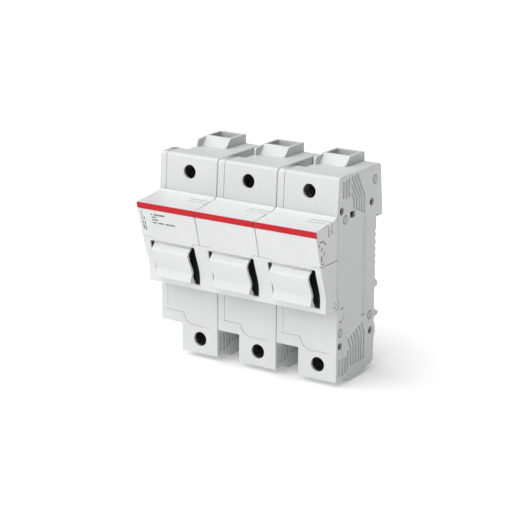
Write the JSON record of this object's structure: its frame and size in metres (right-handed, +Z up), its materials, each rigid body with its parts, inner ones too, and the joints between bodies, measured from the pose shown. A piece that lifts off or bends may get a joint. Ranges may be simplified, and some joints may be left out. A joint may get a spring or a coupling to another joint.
{
  "type": "cartridge fuse holder",
  "caption": "Cartridge fuse holder for rail mounting: pole housings side by side, with a swing-out carrier, finger grips, screw terminals and sprung rail clips.",
  "frame": {"origin": "middle of the seat that rests on the mounting rail, at the rail's centre line", "axes": "+X along the row of poles, to the right seen from the front; +Y into the rail, away from the operating face; +Z up"},
  "size_m": [0.1048, 0.0634, 0.1098],
  "materials": {
    "housing_plastic": "moulded, fine satin",
    "handle_plastic": "moulded, fine satin",
    "carrier_plastic": "moulded, satin",
    "plug_plastic": "moulded, satin",
    "stripe_plastic": "satin",
    "contact_metal": "plated, satin",
    "clamp_steel": "zinc plated",
    "screw_steel": "black oxide",
    "fuse_ceramic": "unglazed",
    "fuse_cap": "silver plated",
    "clip_plastic": "satin"
  },
  "bodies": {
    "housing": {"pole1_cover": "housing_plastic", "pole1_main_shell": "housing_plastic", "pole1_upper_contact": "contact_metal", "pole1_lower_contact": "contact_metal", "pole2_cover": "housing_plastic", "pole2_main_shell": "housing_plastic", "pole2_upper_contact": "contact_metal", "pole2_lower_contact": "contact_metal", "pole3_cover": "housing_plastic", "pole3_main_shell": "housing_plastic", "pole3_upper_contact": "contact_metal", "pole3_lower_contact": "contact_metal", "carrier_rod": "clamp_steel", "side_plug_1": "plug_plastic", "side_plug_2": "plug_plastic", "side_plug_3": "plug_plastic", "side_plug_4": "plug_plastic"},
    "carrier": {"common_handle": "handle_plastic", "pole1_label_front": "handle_plastic", "pole1_stripe": "stripe_plastic", "pole1_cradle": "carrier_plastic", "pole1_fuse_body": "fuse_ceramic", "pole1_fuse_lower_cap": "fuse_cap", "pole1_fuse_upper_cap": "fuse_cap", "pole2_label_front": "handle_plastic", "pole2_stripe": "stripe_plastic", "pole2_cradle": "carrier_plastic", "pole2_fuse_body": "fuse_ceramic", "pole2_fuse_lower_cap": "fuse_cap", "pole2_fuse_upper_cap": "fuse_cap", "pole3_label_front": "handle_plastic", "pole3_stripe": "stripe_plastic", "pole3_cradle": "carrier_plastic", "pole3_fuse_body": "fuse_ceramic", "pole3_fuse_lower_cap": "fuse_cap", "pole3_fuse_upper_cap": "fuse_cap"},
    "pole1_upper_screw_body": {"pole1_upper_screw": "screw_steel"},
    "pole1_upper_clamp_body": {"pole1_upper_clamp": "clamp_steel"},
    "pole1_lower_screw_body": {"pole1_lower_screw": "screw_steel"},
    "pole1_lower_clamp_body": {"pole1_lower_clamp": "clamp_steel"},
    "pole1_rail_clip_body": {"pole1_rail_clip": "clip_plastic"},
    "pole2_upper_screw_body": {"pole2_upper_screw": "screw_steel"},
    "pole2_upper_clamp_body": {"pole2_upper_clamp": "clamp_steel"},
    "pole2_lower_screw_body": {"pole2_lower_screw": "screw_steel"},
    "pole2_lower_clamp_body": {"pole2_lower_clamp": "clamp_steel"},
    "pole2_rail_clip_body": {"pole2_rail_clip": "clip_plastic"},
    "pole3_upper_screw_body": {"pole3_upper_screw": "screw_steel"},
    "pole3_upper_clamp_body": {"pole3_upper_clamp": "clamp_steel"},
    "pole3_lower_screw_body": {"pole3_lower_screw": "screw_steel"},
    "pole3_lower_clamp_body": {"pole3_lower_clamp": "clamp_steel"},
    "pole3_rail_clip_body": {"pole3_rail_clip": "clip_plastic"}
  },
  "joints": [
    {"name": "carrier_swing", "type": "hinge", "parent": "housing", "child": "carrier", "pos_m": [0, -0.0388, -0.0195], "axis": [1, 0, 0], "range_deg": [0, 75]},
    {"name": "pole1_upper_screw_turn", "type": "hinge", "parent": "housing", "child": "pole1_upper_screw_body", "pos_m": [-0.0342, -0.032, 0.0347], "axis": [0, 1, 0], "range_deg": [0, 2521]},
    {"name": "pole1_upper_clamp_slide", "type": "slide", "parent": "housing", "child": "pole1_upper_clamp_body", "axis": [0, -1, 0], "range_m": [0, 0.007]},
    {"name": "pole1_lower_screw_turn", "type": "hinge", "parent": "housing", "child": "pole1_lower_screw_body", "pos_m": [-0.0284, -0.032, -0.0521], "axis": [0, 1, 0], "range_deg": [0, 2161]},
    {"name": "pole1_lower_clamp_slide", "type": "slide", "parent": "housing", "child": "pole1_lower_clamp_body", "axis": [0, -1, 0], "range_m": [0, 0.006]},
    {"name": "pole1_clip_slide", "type": "slide", "parent": "housing", "child": "pole1_rail_clip_body", "axis": [0, 0, -1], "range_m": [0, 0.0045], "stiffness_N_per_m": 1500},
    {"name": "pole2_upper_screw_turn", "type": "hinge", "parent": "housing", "child": "pole2_upper_screw_body", "pos_m": [0.0008, -0.032, 0.0347], "axis": [0, 1, 0], "range_deg": [0, 2521]},
    {"name": "pole2_upper_clamp_slide", "type": "slide", "parent": "housing", "child": "pole2_upper_clamp_body", "axis": [0, -1, 0], "range_m": [0, 0.007]},
    {"name": "pole2_lower_screw_turn", "type": "hinge", "parent": "housing", "child": "pole2_lower_screw_body", "pos_m": [0.0066, -0.032, -0.0521], "axis": [0, 1, 0], "range_deg": [0, 2161]},
    {"name": "pole2_lower_clamp_slide", "type": "slide", "parent": "housing", "child": "pole2_lower_clamp_body", "axis": [0, -1, 0], "range_m": [0, 0.006]},
    {"name": "pole2_clip_slide", "type": "slide", "parent": "housing", "child": "pole2_rail_clip_body", "axis": [0, 0, -1], "range_m": [0, 0.0045], "stiffness_N_per_m": 1500},
    {"name": "pole3_upper_screw_turn", "type": "hinge", "parent": "housing", "child": "pole3_upper_screw_body", "pos_m": [0.0358, -0.032, 0.0347], "axis": [0, 1, 0], "range_deg": [0, 2521]},
    {"name": "pole3_upper_clamp_slide", "type": "slide", "parent": "housing", "child": "pole3_upper_clamp_body", "axis": [0, -1, 0], "range_m": [0, 0.007]},
    {"name": "pole3_lower_screw_turn", "type": "hinge", "parent": "housing", "child": "pole3_lower_screw_body", "pos_m": [0.0416, -0.032, -0.0521], "axis": [0, 1, 0], "range_deg": [0, 2161]},
    {"name": "pole3_lower_clamp_slide", "type": "slide", "parent": "housing", "child": "pole3_lower_clamp_body", "axis": [0, -1, 0], "range_m": [0, 0.006]},
    {"name": "pole3_clip_slide", "type": "slide", "parent": "housing", "child": "pole3_rail_clip_body", "axis": [0, 0, -1], "range_m": [0, 0.0045], "stiffness_N_per_m": 1500}
  ],
  "couplings": [
    {"joint": "pole1_upper_screw_turn", "follows": "pole1_upper_clamp_slide", "rad_per_m": 6283.2},
    {"joint": "pole1_lower_screw_turn", "follows": "pole1_lower_clamp_slide", "rad_per_m": 6283.2},
    {"joint": "pole2_upper_screw_turn", "follows": "pole2_upper_clamp_slide", "rad_per_m": 6283.2},
    {"joint": "pole2_lower_screw_turn", "follows": "pole2_lower_clamp_slide", "rad_per_m": 6283.2},
    {"joint": "pole3_upper_screw_turn", "follows": "pole3_upper_clamp_slide", "rad_per_m": 6283.2},
    {"joint": "pole3_lower_screw_turn", "follows": "pole3_lower_clamp_slide", "rad_per_m": 6283.2}
  ]
}
